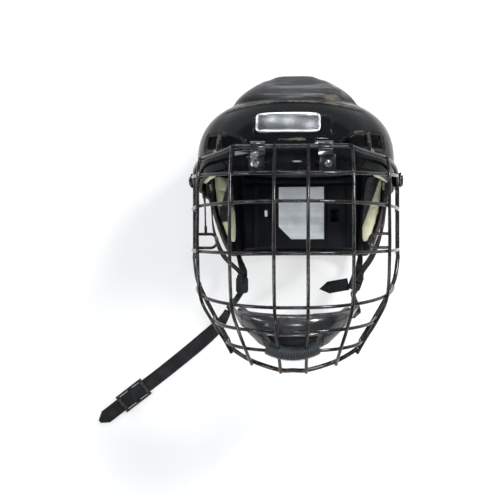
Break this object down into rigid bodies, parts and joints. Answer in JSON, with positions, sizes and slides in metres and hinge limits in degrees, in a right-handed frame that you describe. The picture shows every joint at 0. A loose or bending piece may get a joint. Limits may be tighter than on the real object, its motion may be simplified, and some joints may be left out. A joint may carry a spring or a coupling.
{
  "type": "hockey helmet with cage",
  "caption": "Ice hockey helmet with sliding front and rear shells, inner pads, a hinged wire face cage with a padded chin cup, and chin strap webbing with a slider.",
  "frame": {"origin": "middle of the flat of the rear shell that the helmet lies on", "axes": "+Z out of the face, up from the floor; +Y towards the crown; +X to the right when looking at the face"},
  "size_m": [0.3414, 0.3725, 0.3018],
  "materials": {
    "shell_gloss": "glossy moulded shell, lightly scuffed",
    "plate_silver": "brushed blank nameplate, lightly crumpled",
    "patch_grey": "blank woven care patch, silver grey",
    "pad_dark": "closed-cell foam with a dark skin, worn",
    "foam_cream": "bare cream foam, yellowed",
    "clip_plastic": "matte moulded clip",
    "brow_clip": "worn grey-black rubbery clip",
    "screw_steel": "dull zinc-plated steel",
    "frame_wire": "black coated steel wire",
    "grille_wire": "black coating worn to brown metal",
    "cup_plastic": "matte moulded cup",
    "cup_foam": "dark soft foam",
    "webbing": "black woven nylon webbing",
    "strap_plastic": "black moulded buckle plastic"
  },
  "bodies": {
    "helmet": {"front_shell": "shell_gloss", "badge_plate": "plate_silver", "forehead_pad": "pad_dark", "left_temple_pad": "foam_cream", "right_temple_pad": "foam_cream", "crown_pad": "pad_dark", "left_brow_clip": "brow_clip", "right_brow_clip": "brow_clip", "brow_clip_screws": "screw_steel", "left_side_clip": "clip_plastic", "right_side_clip": "clip_plastic", "side_clip_screws": "screw_steel", "adjust_screws": "screw_steel", "adjust_nuts": "screw_steel", "vent_screws": "screw_steel", "left_front_strap": "webbing", "right_front_strap": "webbing", "left_strap_joiner": "strap_plastic", "right_strap_joiner": "strap_plastic", "right_tongue": "strap_plastic", "right_cup_strap": "webbing", "loose_strap": "webbing", "snap_studs": "screw_steel"},
    "rear": {"rear_shell": "shell_gloss", "rear_pad": "pad_dark", "left_side_pad": "foam_cream", "right_side_pad": "foam_cream", "rear_crown_pad": "pad_dark", "label_patch": "patch_grey", "left_rear_strap": "webbing", "right_rear_strap": "webbing"},
    "cage": {"hinge_bar": "frame_wire", "cage_frame": "frame_wire", "upright_1": "grille_wire", "upright_2": "grille_wire", "upright_3": "grille_wire", "upright_4": "grille_wire", "upright_5": "grille_wire", "upright_6": "grille_wire", "crossbar_1": "grille_wire", "crossbar_2": "grille_wire", "crossbar_3": "grille_wire", "crossbar_4": "grille_wire", "crossbar_5": "grille_wire", "crossbar_6": "grille_wire", "left_cage_eye": "grille_wire", "right_cage_eye": "grille_wire", "left_cage_strap": "webbing", "right_cage_strap": "webbing", "chin_cup": "cup_plastic", "chin_cup_pad": "cup_foam", "chin_cup_lip": "cup_plastic"},
    "slider": {"strap_slider": "strap_plastic"},
    "left_latch": {"left_snap_tab": "webbing"},
    "right_latch": {"right_snap_tab": "webbing"}
  },
  "joints": [
    {"name": "cage_hinge", "type": "hinge", "parent": "helmet", "child": "cage", "pos_m": [0, 0.055, 0.277], "axis": [-1, 0, 0], "range_deg": [0, 95]},
    {"name": "size_slide", "type": "slide", "parent": "helmet", "child": "rear", "axis": [0, 0, -1], "range_m": [0, 0.02]},
    {"name": "slider_slide", "type": "slide", "parent": "helmet", "child": "slider", "axis": [-0.7923, -0.6101, 0], "range_m": [-0.02, 0.022]},
    {"name": "left_latch_hinge", "type": "hinge", "parent": "helmet", "child": "left_latch", "pos_m": [-0.1065, 0.031, 0.137], "axis": [1, 0, 0], "range_deg": [0, 90]},
    {"name": "right_latch_hinge", "type": "hinge", "parent": "helmet", "child": "right_latch", "pos_m": [0.1065, 0.031, 0.137], "axis": [1, 0, 0], "range_deg": [0, 90]}
  ]
}
